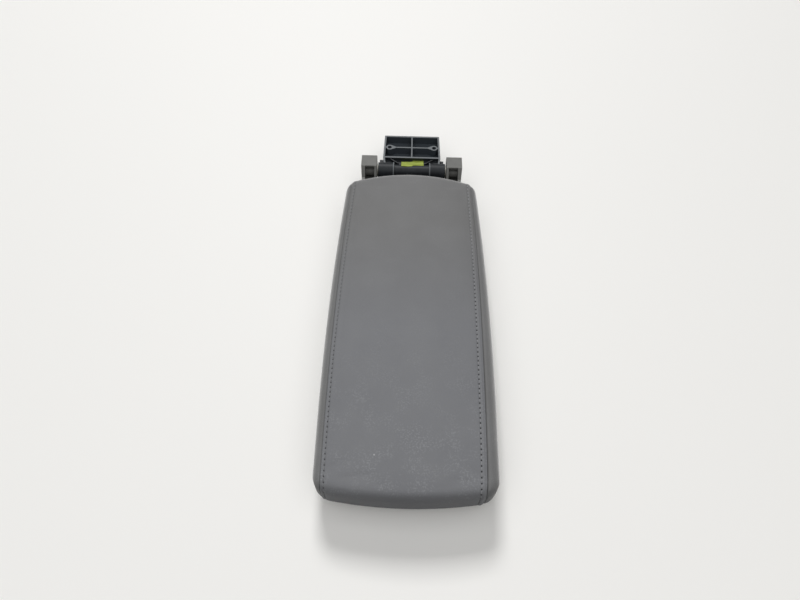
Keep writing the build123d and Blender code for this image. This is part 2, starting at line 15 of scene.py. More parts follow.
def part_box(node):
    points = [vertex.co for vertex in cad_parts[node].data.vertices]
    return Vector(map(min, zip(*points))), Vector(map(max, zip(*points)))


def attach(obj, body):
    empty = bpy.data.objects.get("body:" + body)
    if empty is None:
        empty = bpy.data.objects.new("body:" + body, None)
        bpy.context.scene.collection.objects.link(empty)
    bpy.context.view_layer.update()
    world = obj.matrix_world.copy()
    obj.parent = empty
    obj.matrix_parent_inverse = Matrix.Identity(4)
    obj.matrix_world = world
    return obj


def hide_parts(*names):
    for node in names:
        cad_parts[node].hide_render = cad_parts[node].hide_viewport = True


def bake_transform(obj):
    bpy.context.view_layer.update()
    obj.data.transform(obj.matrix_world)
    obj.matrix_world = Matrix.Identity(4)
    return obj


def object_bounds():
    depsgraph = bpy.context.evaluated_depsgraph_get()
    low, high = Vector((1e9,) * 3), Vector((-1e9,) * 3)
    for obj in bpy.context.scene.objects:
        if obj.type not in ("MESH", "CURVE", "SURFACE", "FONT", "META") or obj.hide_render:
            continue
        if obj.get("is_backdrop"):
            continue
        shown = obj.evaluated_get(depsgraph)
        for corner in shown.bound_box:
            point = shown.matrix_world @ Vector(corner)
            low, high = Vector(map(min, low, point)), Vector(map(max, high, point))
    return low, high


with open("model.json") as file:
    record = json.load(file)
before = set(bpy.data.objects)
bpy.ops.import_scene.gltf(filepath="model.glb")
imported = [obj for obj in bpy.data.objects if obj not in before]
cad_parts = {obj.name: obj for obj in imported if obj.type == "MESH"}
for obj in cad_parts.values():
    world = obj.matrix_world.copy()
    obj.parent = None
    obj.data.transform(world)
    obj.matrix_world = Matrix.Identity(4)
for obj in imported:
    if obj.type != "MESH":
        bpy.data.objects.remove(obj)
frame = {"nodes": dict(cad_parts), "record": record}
nodes = frame["nodes"]
cad_low, cad_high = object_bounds()
mm = 0.001


# View: a hand-held camera over the nose of the lid, looking down along it. Its place and turn were
# found by setting the solids' outline against the photograph.
camera_place = (-7.8 * mm, -330.4 * mm, 519.2 * mm)
camera_pitch = radians(57.3)
camera_yaw = radians(-0.16)
camera_roll = radians(1.4)
focal_length_pixels = 612.7
image_width_pixels = 800
sensor_width = 36.0
nearest_seen = 10.0

bpy.ops.object.camera_add()
camera = bpy.context.object
camera.matrix_world = (
    Matrix.Translation(camera_place)
    @ Matrix.Rotation(-camera_yaw, 4, "Z")
    @ Matrix.Rotation(pi / 2 - camera_pitch, 4, "X")
    @ Matrix.Rotation(camera_roll, 4, "Z")
)
camera.data.sensor_width = sensor_width
camera.data.lens = focal_length_pixels * sensor_width / image_width_pixels
camera.data.clip_start = nearest_seen * mm
bpy.context.scene.camera = camera
bpy.context.scene.view_settings.view_transform = "Standard"


# Table: a plain white laminate top, which throws light back up under the lid. It is closed when seen
# from above and clear from below, because the lid swings past the table's level when it closes.
table_size = 6.0
table_roughness = 0.6


def linear(colour):
    """Linear RGBA of an sRGB hex colour."""
    channels = [int(colour[i : i + 2], 16) / 255 for i in (1, 3, 5)]
    return tuple(c / 12.92 if c <= 0.04045 else ((c + 0.055) / 1.055) ** 2.4 for c in channels) + (1.0,)


def add_node(tree, kind, inputs, **settings):
    """Add a shader node with its settings, and values or links on its inputs."""
    made = tree.nodes.new(kind)
    for name, value in settings.items():
        setattr(made, name, value)
    for name, value in inputs.items():
        if isinstance(value, bpy.types.NodeSocket):
            tree.links.new(value, made.inputs[name])
        else:
            made.inputs[name].default_value = value
    return made


laminate = bpy.data.materials.new("white_laminate")
laminate.use_nodes = True
tree = laminate.node_tree
surface = tree.nodes["Principled BSDF"]
surface.inputs["Base Color"].default_value = linear("#f8f7f4")
surface.inputs["Roughness"].default_value = table_roughness
below = add_node(tree, "ShaderNodeNewGeometry", {}).outputs["Backfacing"]
clear = add_node(tree, "ShaderNodeBsdfTransparent", {}).outputs[0]
one_sided = add_node(tree, "ShaderNodeMixShader", {0: below, 1: surface.outputs[0], 2: clear})
tree.links.new(one_sided.outputs[0], tree.nodes["Material Output"].inputs["Surface"])

bpy.ops.mesh.primitive_plane_add(size=table_size, location=(0, 0, cad_low.z))
table = bpy.context.object
table.name = "table"
table.data.materials.append(laminate)
table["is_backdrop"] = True


# Light: a dim white room, a broad ceiling light, and a window high behind the hinge on the left that
# throws a soft-edged shadow forwards from the nose.
room_light = 0.12
ceiling_power = 78.0
ceiling_size = 5.0
ceiling_place = Vector((-0.1, -1.2, 3.0))
window_power = 91.0
window_size = 1.1
window_place = Vector((-0.4, 2.6, 3.2))

world = bpy.data.worlds.new("white_room")
bpy.context.scene.world = world
world.use_nodes = True
world.node_tree.nodes["Background"].inputs["Color"].default_value = (1, 1, 1, 1)
world.node_tree.nodes["Background"].inputs["Strength"].default_value = room_light

for label, place, power, size in (
    ("ceiling", ceiling_place, ceiling_power, ceiling_size),
    ("window", window_place, window_power, window_size),
):
    bpy.ops.object.light_add(type="AREA", location=place)
    lamp = bpy.context.object
    lamp.name = label
    lamp.data.energy = power
    lamp.data.size = size
    lamp.rotation_euler = (-place).to_track_quat("-Z", "Y").to_euler()


# Leather: split cowhide with a printed grain, dyed grey, cut flat and sewn into a cover. It is dull, with
# pale worn flecks towards the nose, painted shade where it faces forwards and needle holes that read as dark
# dots.
# The grain is drawn about twice as coarse as the real one, so that it shows.
grain_width = 1.1
grain_depth = 0.25
grain_strength = 0.4
wrinkle_width = 8.5
wrinkle_depth = 0.8
wrinkle_strength = 0.25
tone_turns = (60.0, -60.0)
mottle_width = 38.0
mottle_spread = (0.35, 0.65)
mottle_share = 0.15
fleck_width = 1.4
fleck_spread = (0.5, 0.64)
patch_width = 17.0
patch_spread = (0.42, 0.62)
worn_stretch = (-60.0, -185.0)
worn_least = 0.15
# Painted shade: the leather is darkened where its normal points forwards, towards the nose
painted_shade_faces = (-0.45, -1.0)
painted_shade_share = 0.65
speck_place = (-25.4 * mm, -174.9 * mm, 0.0)
speck_radius = 0.9
speck_core = 0.4
speck_share = 0.6
stitch_pitch = 4.3
needle_hole = 0.4
leather_roughness = 0.58
leather_gloss = 0.12
sheen_roughness = 0.4


def leather_finish(name, rear_tone, nose_tone, worn, sheen, sheen_faces, stitched):
    """Grained leather: tone at the rear and the nose, worn flecks, painted shade where it faces forwards,
    needle holes if stitched.
    """
    finish = bpy.data.materials.new(name)
    finish.use_nodes = True
    tree = finish.node_tree
    surface = tree.nodes["Principled BSDF"]
    coordinates = add_node(tree, "ShaderNodeTexCoord", {})
    place = coordinates.outputs["Object"]
    length = add_node(tree, "ShaderNodeSeparateXYZ", {0: place}).outputs["Y"]
    facing = add_node(tree, "ShaderNodeSeparateXYZ", {0: coordinates.outputs["Normal"]}).outputs["Y"]

    clouds = []
    for width, detail in ((mottle_width, 4.0), (patch_width, 3.0), (fleck_width, 3.0), (wrinkle_width, 5.0)):
        cloud = {"Vector": place, "Scale": 1 / (width * mm), "Detail": detail}
        clouds.append(add_node(tree, "ShaderNodeTexNoise", cloud).outputs["Fac"])
    mottle, patches, flecks, wrinkles = clouds
    ranges = [
        ("towards nose", length, (tone_turns[0] * mm, tone_turns[1] * mm, 0.0, 1.0)),
        ("mottled", mottle, (*mottle_spread, 0.0, mottle_share)),
        ("worn", length, (worn_stretch[0] * mm, worn_stretch[1] * mm, worn_least, 1.0)),
        ("patches", patches, (*patch_spread, 0.0, 1.0)),
        ("flecks", flecks, (*fleck_spread, 0.0, worn)),
        # painted shade on the faces that point forwards
        ("painted shade", facing, (*painted_shade_faces, 0.0, painted_shade_share)),
        ("sheen", facing, (*sheen_faces, 0.0, sheen)),
    ]
    products = [("worn", "worn", "patches"), ("worn", "worn", "flecks")]
    layers = [("towards nose", nose_tone), ("mottled", "#8a8b8c"), ("worn", "#a3a5a7"), ("painted shade", "#4a4b4d")]
    shares = {}
    if stitched:
        flat = add_node(tree, "ShaderNodeVectorMath", {0: place, 1: (1, 1, 0)}, operation="MULTIPLY")
        to_speck = {0: flat.outputs[0], 1: speck_place}
        away = add_node(tree, "ShaderNodeVectorMath", to_speck, operation="DISTANCE")
        stitch, along, shares["opened"] = (
            add_node(tree, "ShaderNodeAttribute", {}, attribute_name=label).outputs["Fac"]
            for label in ("stitch", "along", "opened")
        )
        nearest = add_node(tree, "ShaderNodeMath", {0: along, 1: stitch_pitch / 2}, operation="PINGPONG")
        spot = add_node(tree, "ShaderNodeCombineXYZ", {0: stitch, 1: nearest.outputs[0]})
        distance = add_node(tree, "ShaderNodeVectorMath", {0: spot.outputs[0]}, operation="LENGTH")
        speck_edges = (speck_core * speck_radius * mm, speck_radius * mm)
        ranges.append(("speck", away.outputs["Value"], (*speck_edges, speck_share, 0.0)))
        ranges.append(("hole", distance.outputs["Value"], (needle_hole, 2 * needle_hole, 1.0, 0.0)))
        products.append(("hole", "hole", "opened"))
        layers += [("speck", "#c4c5c6"), ("hole", "#262627")]
    for label, value, limits in ranges:
        ends = dict(zip(("From Min", "From Max", "To Min", "To Max"), limits))
        shares[label] = add_node(tree, "ShaderNodeMapRange", {"Value": value, **ends}).outputs[0]
    for label, first, second in products:
        both = {0: shares[first], 1: shares[second]}
        shares[label] = add_node(tree, "ShaderNodeMath", both, operation="MULTIPLY").outputs[0]
    colour = linear(rear_tone)
    for label, tone in layers:
        mixed = {0: shares[label], 6: colour, 7: linear(tone)}
        colour = add_node(tree, "ShaderNodeMix", mixed, data_type="RGBA").outputs[2]

    cells = {"Vector": place, "Scale": 1 / (grain_width * mm)}
    grain = add_node(tree, "ShaderNodeTexVoronoi", cells, feature="SMOOTH_F1").outputs["Distance"]
    pits = {"Height": grain, "Strength": grain_strength, "Distance": grain_depth * mm}
    pitted = add_node(tree, "ShaderNodeBump", pits, invert=True).outputs["Normal"]
    folds = {"Height": wrinkles, "Strength": wrinkle_strength, "Distance": wrinkle_depth * mm}
    wrinkled = add_node(tree, "ShaderNodeBump", {**folds, "Normal": pitted}).outputs["Normal"]
    tree.links.new(colour, surface.inputs["Base Color"])
    tree.links.new(wrinkled, surface.inputs["Normal"])
    tree.links.new(shares["sheen"], surface.inputs["Sheen Weight"])
    surface.inputs["Sheen Roughness"].default_value = sheen_roughness
    surface.inputs["Roughness"].default_value = leather_roughness
    surface.inputs["Specular IOR Level"].default_value = leather_gloss
    return finish


top_leather = leather_finish(
    "grey_grained_leather_top",
    rear_tone="#757575",
    nose_tone="#797a7d",
    worn=0.32,
    sheen=0.8,
    sheen_faces=(0.02, 0.5),
    stitched=True,
)
side_leather = leather_finish(
    "grey_grained_leather_sides",
    rear_tone="#727272",
    nose_tone="#727272",
    worn=0.15,
    sheen=0.7,
    sheen_faces=(-0.6, -0.1),
    stitched=False,
)


# Cover: the three leather panels of the pad, each cut as a flat sheet and then drawn over the foam.
# They are sewn to each other along two seams, turn in there, and are pulled under the carrier plate.
# In the pairs of values by side, -1 is the left seam and 1 the right one.
front_taper = 2.0
rear_taper = 7.5
waist_from_front = 126.0
front_bow = 7.0
rear_bow = 12.0
front_corner = 16.0
rear_corner = 14.0
outline_steps = 300
crown_drop = 3.5
top_roll = 14.0
nose_roll = 9.0
nose_blend = 60.0
nose_drop = 3.0
roll_rows = 6
wall_shares = (0.75, 0.5, 0.25, 0)
bottom_roll = 5.0
bottom_turns = (pi / 6, pi / 3, pi / 2)
turn_under = (3.0, 8.0)
seam_rear_inset = 5.5
seam_insets = {-1: (6.6, 7.2), 1: (10.5, 10.0)}
seam_gap = 0.15
seam_sink = 0.7
seam_turn_in = 3.0
wall_sink = 0.1
wall_turn_in = 1.5
seam_settles = (rear_bow, rear_bow + 20.0)
seam_settled = 0.2
seam_edge = 0.5
row_spacing = 3.0
row_crowding = 0.55

cover_boxes = [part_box(name) for name in ("cover_top_panel", "cover_left_panel", "cover_right_panel")]
pad_low = Vector(map(min, *(low for low, high in cover_boxes))) / mm
pad_high = Vector(map(max, *(high for low, high in cover_boxes))) / mm
half_waist = pad_high.x
y_front = pad_low.y
y_rear = pad_high.y
y_waist = pad_low.y + waist_from_front
up = np.array([0.0, 0.0, 1.0])


def circle_through(a, b, c):
    """Centre and radius of the circle through three plan points, given as complex numbers."""
    w = (c - a) / (b - a)
    centre = (b - a) * (w - abs(w) ** 2) / (2j * w.imag) + a
    return centre, abs(a - centre)


def corner_centre(first, second, radius, front):
    """Centre of the round that joins two outline arcs on the right, at the front or at the rear."""
    (c1, r1), (c2, r2) = first, second
    span = abs(c2 - c1)
    run = ((r1 - radius) ** 2 - (r2 - radius) ** 2 + span**2) / (2 * span)
    rise = ((r1 - radius) ** 2 - run**2) ** 0.5
    along = (c2 - c1) / span
    both = [c1 + along * (run + 1j * rise), c1 + along * (run - 1j * rise)]
    return min(both, key=lambda p: p.imag) if front else max(both, key=lambda p: p.imag)


# Right half of the plan outline, from the middle of the nose round to the middle of the rear edge
front_end = half_waist - front_taper + 1j * (y_front + front_bow)
rear_end = half_waist - rear_taper + 1j * (y_rear - rear_bow)
front_arc = circle_through(-front_end.conjugate(), 1j * y_front, front_end)
side_arc = circle_through(front_end, half_waist + 1j * y_waist, rear_end)
rear_arc = circle_through(rear_end, 1j * y_rear, -rear_end.conjugate())
front_round = corner_centre(front_arc, side_arc, front_corner, True)
rear_round = corner_centre(side_arc, rear_arc, rear_corner, False)
arcs = [front_arc, (front_round, front_corner), side_arc, (rear_round, rear_corner), rear_arc]
turns = [
    -pi / 2,
    np.angle(front_round - front_arc[0]),
    np.angle(front_round - side_arc[0]),
    np.angle(rear_round - side_arc[0]),
    np.angle(rear_round - rear_arc[0]),
    pi / 2,
]
arc_turns = [np.linspace(turns[i], turns[i + 1], outline_steps) for i in range(len(arcs))]
outline_turn = np.concatenate(arc_turns)
outline = np.concatenate([arcs[i][0] + arcs[i][1] * np.exp(1j * arc_turns[i]) for i in range(len(arcs))])
outline_run = np.concatenate([[0], np.cumsum(abs(np.diff(outline)))])


def in_space(plan, height):
    """Points in space over plan points."""
    return np.column_stack([plan.real, plan.imag, np.broadcast_to(height, plan.shape)])


def top_height(plan, inset):
    """Height of the padded top over plan points that lie an inset inside the outline."""
    back = np.clip((plan.imag - y_front) / nose_blend, 0, 1)
    roll = nose_roll + (top_roll - nose_roll) * back**2 * (3 - 2 * back)
    fall = roll - np.sqrt(np.maximum(roll**2 - np.maximum(roll - inset, 0) ** 2, 0))
    crown = crown_drop * (plan.real / half_waist) ** 2 + nose_drop * (1 - back) ** 2
    return pad_high.z - crown - fall


def hem_rows(plan, inwards):
    """Rows of points, and their normals, from the top of the wall down to the turned-under hem."""
    top = top_height(plan, np.zeros(len(plan)))
    low = pad_low.z + bottom_roll
    rows = [in_space(plan, low + (top - low) * share) for share in wall_shares]
    normals = [in_space(-inwards, 0)] * len(rows)
    for angle in bottom_turns:
        under = plan + inwards * bottom_roll * (1 - cos(angle))
        rows.append(in_space(under, low - bottom_roll * sin(angle)))
        normals.append(in_space(-inwards, 0) * cos(angle) - up * sin(angle))
    for reach in turn_under:
        rows.append(in_space(plan + inwards * (bottom_roll + reach), pad_low.z))
        normals.append(in_space(0 * inwards, 0) - up)
    return rows, normals


def run_along(points):
    """Length along a row of points, from its first one."""
    return np.concatenate([[0], np.cumsum(np.linalg.norm(np.diff(points, axis=0), axis=1))])


def seam_depth(y):
    """Share of the seam's full depth at a place along the pad: it runs out towards the rear edge."""
    return np.interp(y_rear - y, seam_settles, (seam_settled, 1))


def turn_in(points, normals, sink, dive):
    """Sink the first and last column of a sheet, and add a column beyond each that dives into the pad."""
    for end in (0, -1):
        points[:, end] -= sink * normals[:, end]
    first = points[:, :1] - dive * normals[:, :1]
    last = points[:, -1:] - dive * normals[:, -1:]
    return np.concatenate([first, points, last], axis=1)


def draw_sheet(name, points, attributes):
    """Cut a flat sheet with a row and column for each point, and draw it over the pad."""
    rows, columns = points.shape[:2]
    bpy.ops.object.select_all(action="DESELECT")
    bpy.ops.mesh.primitive_grid_add(x_subdivisions=columns - 1, y_subdivisions=rows - 1)
    sheet = bpy.context.object
    sheet.name = name
    sheet.data.vertices.foreach_set("co", (points * mm).ravel())
    for label, values in attributes.items():
        sheet.data.attributes.new(label, "FLOAT", "POINT").data.foreach_set("value", values.ravel())
    sheet.data.update()
    middle = Vector((0, (pad_low.y + pad_high.y) / 2, pad_low.z)) * mm
    if sum(f.area * f.normal.dot(f.center - middle) for f in sheet.data.polygons) < 0:
        sheet.data.flip_normals()
    return sheet


# Side panels: columns go round the outline between the two ends of the seam, rows from the seam down
rows_along = round((y_rear - y_front) / row_spacing)
row_shares = np.linspace(0, 1, rows_along + 1)
row_shares = row_shares - row_crowding * np.sin(2 * pi * row_shares) / (2 * pi)
end_share = seam_edge / (y_rear - y_front)
row_shares = np.concatenate([[0, end_share], row_shares[1:-1], [1 - end_share, 1]])


def side_rows(side, seam, ends, gap):
    """Rows of a side panel and their normals, with the panel kept a gap away from the seam."""
    (seam_centre, seam_radius), (start, end) = seam, ends
    run = start + gap + (end - start - 2 * gap) * row_shares
    edge = np.interp(run, outline_run, outline.real) + 1j * np.interp(run, outline_run, outline.imag)
    inwards = -np.exp(1j * np.interp(run, outline_run, outline_turn))
    offset = edge - seam_centre
    across = (offset * inwards.conjugate()).real
    reach = -across - np.sqrt(np.maximum(across**2 - abs(offset) ** 2 + seam_radius**2, 0))
    reach = np.clip(reach - gap, 0, top_roll)
    reach[[0, -1]] = 0
    rows, normals = [], []
    for i in range(roll_rows + 1):
        angle = np.arccos(1 - reach / top_roll) * (1 - i / roll_rows)
        inset = top_roll * (1 - np.cos(angle))
        plan = edge + inwards * inset
        rows.append(in_space(plan, top_height(plan, inset)))
        normals.append(in_space(-inwards * np.cos(angle), np.sin(angle)))
    hem, hem_normals = hem_rows(edge, inwards)
    mirror = np.array([side, 1, 1])
    return np.array(rows + hem) * mirror, np.array(normals + hem_normals) * mirror


seam_plan, seam_normal, sheets = {}, {}, {}
for side, label in ((-1, "cover_left"), (1, "cover_right")):
    front_inset, waist_inset = seam_insets[side]
    seam = circle_through(
        half_waist - front_taper - front_inset + 1j * y_front,
        half_waist - waist_inset + 1j * y_waist,
        half_waist - rear_taper - seam_rear_inset + 1j * y_rear,
    )
    outside = abs(outline - seam[0]) - seam[1]
    first, last = np.flatnonzero(outside > 0)[[0, -1]]
    start = np.interp(0, outside[first - 1 : first + 1], outline_run[first - 1 : first + 1])
    end = np.interp(0, outside[last + 1 : last - 1 : -1], outline_run[last + 1 : last - 1 : -1])
    points, normals = side_rows(side, seam, (start, end), 0)
    seam_plan[side] = points[0, :, 0] + 1j * points[0, :, 1]
    seam_normal[side] = normals[0]
    points, normals = side_rows(side, seam, (start, end), seam_gap)
    from_seam = np.array([run_along(points[:, i]) for i in range(len(row_shares))]).T
    from_ends = run_along(points[roll_rows])
    from_ends = np.minimum(from_ends, from_ends[-1] - from_ends)
    from_seam = np.pad(np.minimum(from_seam, from_ends), 1, constant_values=-seam_turn_in)[:-1]
    points = turn_in(points, normals, wall_sink, wall_turn_in)
    top_normals = np.concatenate([normals[0, :1], normals[0], normals[0, -1:]])
    points[0, 1:-1] -= seam_sink * seam_depth(points[0, 1:-1, 1:2]) * normals[0]
    points = np.concatenate([(points[0] - seam_turn_in * top_normals)[None], points])
    sheets[label] = draw_sheet(label, points, {"seam": from_seam})

# Top panel: columns lie closest beside its two seams, where the cover is pulled down
near_columns = (0, seam_edge, 1.3, 2.4, 3.6, 4.8, 6.2, 8.5, 12.0, 17.0)
middle_columns = 18
middle_from_seam = 22
end_fade = 70.0
stitch_front = {-1: 3.2, 1: 5.2}
stitch_rear = {-1: 5.2, 1: 5.4}
stitch_closes = {-1: 1.6, 1: 1.0}
stitch_opens = {-1: (0.5, 0.62), 1: (0.28, 0.42)}
hole_shows = {-1: (0.1, 0.7), 1: (0.1, 1.0)}

near_seam = seam_gap + np.array(near_columns)
seam_span = 2 * half_waist - sum(waist for front, waist in seam_insets.values())
far_from_seam = np.linspace(middle_from_seam, seam_span - middle_from_seam, middle_columns)
shares = np.concatenate([near_seam, far_from_seam, seam_span - near_seam[::-1]]) / seam_span
front_part = outline_turn <= 0
rear_part = outline_turn >= 0


def outline_at(row, part, values):
    """Values along the front or rear part of the outline, at the width of each plan point in a row."""
    order = np.argsort(outline.real[part])
    return np.interp(abs(row.real), outline.real[part][order], values[part][order])


def end_hem(row, part):
    """Hem rows and normals under the nose or the rear edge of the top panel."""
    inwards = -np.exp(1j * outline_at(row, part, outline_turn))
    return hem_rows(row, np.where(row.real < 0, -inwards.conjugate(), inwards))


plan = seam_plan[-1][:, None] * (1 - shares) + seam_plan[1][:, None] * shares
seam_run = run_along(in_space(seam_plan[1], 0))
nose_pull = np.maximum(1 - seam_run / end_fade, 0)[:, None] ** 2
rear_pull = np.maximum(1 - (seam_run[-1] - seam_run) / end_fade, 0)[:, None] ** 2
nose_shift = outline_at(plan[0], front_part, outline.imag) - plan[0].imag
rear_shift = outline_at(plan[-1], rear_part, outline.imag) - plan[-1].imag
plan = plan + 1j * (nose_pull * nose_shift + rear_pull * rear_shift)
folded = abs(plan.real) + 1j * plan.imag
inset = np.array([abs(row[:, None] - outline).min(axis=1) for row in folded])
inset[[0, -1]] = 0
heights = top_height(plan, inset)
nose_hem, nose_normals = end_hem(plan[0], front_part)
rear_hem, rear_normals = end_hem(plan[-1], rear_part)
points = np.array(nose_hem[::-1] + [in_space(*row) for row in zip(plan, heights)] + rear_hem)
normals = np.zeros(points.shape)
normals[: len(nose_hem)] = nose_normals[::-1]
normals[-len(rear_hem) :] = rear_normals
normals[len(nose_hem) : -len(rear_hem), 0] = seam_normal[-1]
normals[len(nose_hem) : -len(rear_hem), -1] = seam_normal[1]

# Distances on the top panel, which place the holes, the dips and the thread of both stitch rows
left = shares < 0.5
from_seam = np.where(left, shares, 1 - shares) * seam_span + np.zeros((len(points), 1))
fore = (pad_high.y - points[:, :, 1]) / (pad_high.y - pad_low.y)
stitch_inset, opened = {}, {}
for side in (-1, 1):
    drift = stitch_front[side] - stitch_rear[side]
    stitch_inset[side] = stitch_rear[side] + drift * np.clip(stitch_closes[side] * fore, 0, 1)
    opened[side] = np.interp(fore, stitch_opens[side], hole_shows[side])
from_stitch = from_seam - np.where(left, stitch_inset[-1], stitch_inset[1])
along = np.array([run_along(points[:, 0 if near else -1]) for near in left]).T
sides_only = ((0, 0), (1, 1))
attributes = {
    "seam": np.pad(from_seam, sides_only, constant_values=-seam_turn_in),
    "stitch": np.pad(from_stitch, sides_only, constant_values=-2 * seam_turn_in),
    "along": np.pad(along, sides_only, mode="edge"),
    "opened": np.pad(np.where(left, opened[-1], opened[1]), sides_only, mode="edge"),
}
on_top = np.zeros(len(points), bool)
on_top[len(nose_hem) : -len(rear_hem)] = True
sink = np.where(on_top, seam_sink * seam_depth(points[:, 0, 1]), wall_sink)[:, None]
dive = np.where(on_top, seam_turn_in, wall_turn_in)[:, None, None]
sheets["cover_top"] = draw_sheet("cover_top", turn_in(points, normals, sink, dive), attributes)

# Padding: the foam presses each sheet out, and the seams and stitches pull it in again
swell_steps = 20
swell_quality = 5
swell_cap = 0.8
leather_mass = 0.3
leather_stretch = 20
leather_bend = 2
foam_pressure = 4
hem_height = 0.5
refine_levels = 2
seam_valley = 0.25
seam_valley_width = 2.5
seam_ridge = 0.4
seam_ridge_width = 1.1
ridge_from_stitch = 2.0
stitch_dip = 0.5
stitch_dip_width = 0.8
stitch_dip_wave = 0.4


def values_of(sheet, label):
    """Values of one of a sheet's attributes, by vertex."""
    values = np.zeros(len(sheet.data.vertices))
    sheet.data.attributes[label].data.foreach_get("value", values)
    return values


def vectors_of(vertices, label):
    """Places or normals of a mesh's vertices."""
    values = np.zeros(3 * len(vertices))
    vertices.foreach_get(label, values)
    return values.reshape(-1, 3)


def swell(sheet, held):
    """Press the sheet out from inside, held along its seams and hem, as the foam does."""
    rest = vectors_of(sheet.data.vertices, "co")
    group = sheet.vertex_groups.new(name="held")
    group.add([int(i) for i in np.flatnonzero(held)], 1.0, "REPLACE")
    cloth = sheet.modifiers.new("swell", "CLOTH")
    cloth.settings.quality = swell_quality
    cloth.settings.mass = leather_mass
    cloth.settings.tension_stiffness = leather_stretch
    cloth.settings.compression_stiffness = leather_stretch
    cloth.settings.bending_stiffness = leather_bend
    cloth.settings.use_pressure = True
    cloth.settings.uniform_pressure_force = foam_pressure
    cloth.settings.vertex_group_mass = "held"
    cloth.settings.effector_weights.gravity = 0
    cloth.point_cache.frame_start = 1
    cloth.point_cache.frame_end = swell_steps
    for step in range(1, swell_steps + 1):
        bpy.context.scene.frame_set(step)
    moved = sheet.evaluated_get(bpy.context.evaluated_depsgraph_get()).data
    outwards = vectors_of(sheet.data.vertices, "normal")
    shift = ((vectors_of(moved.vertices, "co") - rest) * outwards).sum(axis=1)
    shift = swell_cap * mm * np.tanh(np.maximum(shift, 0) / (swell_cap * mm))[:, None] * outwards
    sheet.modifiers.remove(cloth)
    sheet.vertex_groups.remove(group)
    sheet.data.vertices.foreach_set("co", (rest + shift).ravel())
    sheet.data.update()
    bpy.context.scene.frame_set(1)


for label, sheet in sheets.items():
    from_seam = values_of(sheet, "seam")
    hem = vectors_of(sheet.data.vertices, "co")[:, 2] < (pad_low.z + hem_height) * mm
    swell(sheet, (from_seam < 2 * seam_gap) | hem)
    refine = sheet.modifiers.new("refine", "SUBSURF")
    refine.levels = refine.render_levels = refine_levels
    bpy.context.view_layer.objects.active = sheet
    bpy.ops.object.modifier_apply(modifier=refine.name)
    place = vectors_of(sheet.data.vertices, "co")
    valley = np.exp(-((values_of(sheet, "seam") / seam_valley_width) ** 2))
    relief = -seam_valley * seam_depth(place[:, 1] / mm) * valley
    if label == "cover_top":
        from_stitch = values_of(sheet, "stitch")
        wave = np.cos(2 * pi * values_of(sheet, "along") / stitch_pitch)
        pull = 1 - stitch_dip_wave + stitch_dip_wave * wave
        relief += seam_ridge * np.exp(-(((from_stitch + ridge_from_stitch) / seam_ridge_width) ** 2))
        relief -= stitch_dip * pull * np.exp(-((from_stitch / stitch_dip_width) ** 2))
    place += vectors_of(sheet.data.vertices, "normal") * relief[:, None] * mm
    sheet.data.vertices.foreach_set("co", place.ravel())
    sheet.data.update()
    sheet.data.shade_smooth()
    sheet.data.materials.append(top_leather if label == "cover_top" else side_leather)
    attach(sheet, "lid")
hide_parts("cover_top_panel", "foam_pad")
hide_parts("cover_left_panel")
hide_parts("cover_right_panel")


# Top-stitching: bonded grey thread in even lockstitches beside both seams. Each stitch is one short bead that
# dips into its two needle holes. The left row is duller, and the thread is darker lower down, on the walls.
# The twist of the thread is drawn coarser than the real one, so that it shows.
stitch_length = 3.4
thread_width = 0.9
thread_height = 0.6
thread_roughness = 0.6
thread_twist = 0.5
twist_depth = 0.1
rows_part = 10.0
# Heights in millimetres over which the thread turns darker towards the bottom
darker_heights = (47.0, 42.0)
stitch_sit = 0.1
bead_segments = 8
bead_rings = 6
row_reach = 1.5
across_spread = 0.5
along_spread = 0.7

thread = bpy.data.materials.new("bonded_grey_thread")
thread.use_nodes = True
tree = thread.node_tree
surface = tree.nodes["Principled BSDF"]
place = add_node(tree, "ShaderNodeTexCoord", {}).outputs["Object"]
part = add_node(tree, "ShaderNodeSeparateXYZ", {0: place})
colour = linear("#7c7d7f")
for axis, low, high, tone in (
    ("X", -rows_part, rows_part, "#8d8e90"),
    ("Z", *darker_heights, "#57585a"),
):
    limits = {"Value": part.outputs[axis], "From Min": low * mm, "From Max": high * mm}
    share = add_node(tree, "ShaderNodeMapRange", limits).outputs[0]
    mixed = {0: share, 6: colour, 7: linear(tone)}
    colour = add_node(tree, "ShaderNodeMix", mixed, data_type="RGBA").outputs[2]
strands = {"Vector": place, "Scale": 1 / (thread_twist * mm), "Detail": 1.0}
twist = add_node(tree, "ShaderNodeTexNoise", strands).outputs["Fac"]
twisted = add_node(tree, "ShaderNodeBump", {"Height": twist, "Distance": twist_depth * mm})
tree.links.new(colour, surface.inputs["Base Color"])
tree.links.new(twisted.outputs["Normal"], surface.inputs["Normal"])
surface.inputs["Roughness"].default_value = thread_roughness

bpy.ops.object.select_all(action="DESELECT")
bpy.ops.mesh.primitive_uv_sphere_add(segments=bead_segments, ring_count=bead_rings, radius=0.5)
stitch = bpy.context.object
stitch.data.transform(Matrix.Rotation(pi / 2, 4, "Y"))
stitch.data.transform(Matrix.Diagonal((stitch_length * mm, thread_width * mm, thread_height * mm, 1)))

leather_stitch = values_of(sheets["cover_top"], "stitch")
leather_along = values_of(sheets["cover_top"], "along")
leather_place = vectors_of(sheets["cover_top"].data.vertices, "co")
leather_normal = vectors_of(sheets["cover_top"].data.vertices, "normal")
hem_length = bottom_roll * pi / 2 + turn_under[-1]


def on_stitch_line(near, run):
    """Place and normal of the leather on a stitch line, at a length along the seam."""
    across = (leather_stitch[near] / across_spread) ** 2
    beyond = ((leather_along[near] - run) / along_spread) ** 2
    weight = np.exp(-across - beyond)
    weight = (weight / weight.sum())[:, None]
    facing = Vector((leather_normal[near] * weight).sum(axis=0)).normalized()
    return (leather_place[near] * weight).sum(axis=0), facing


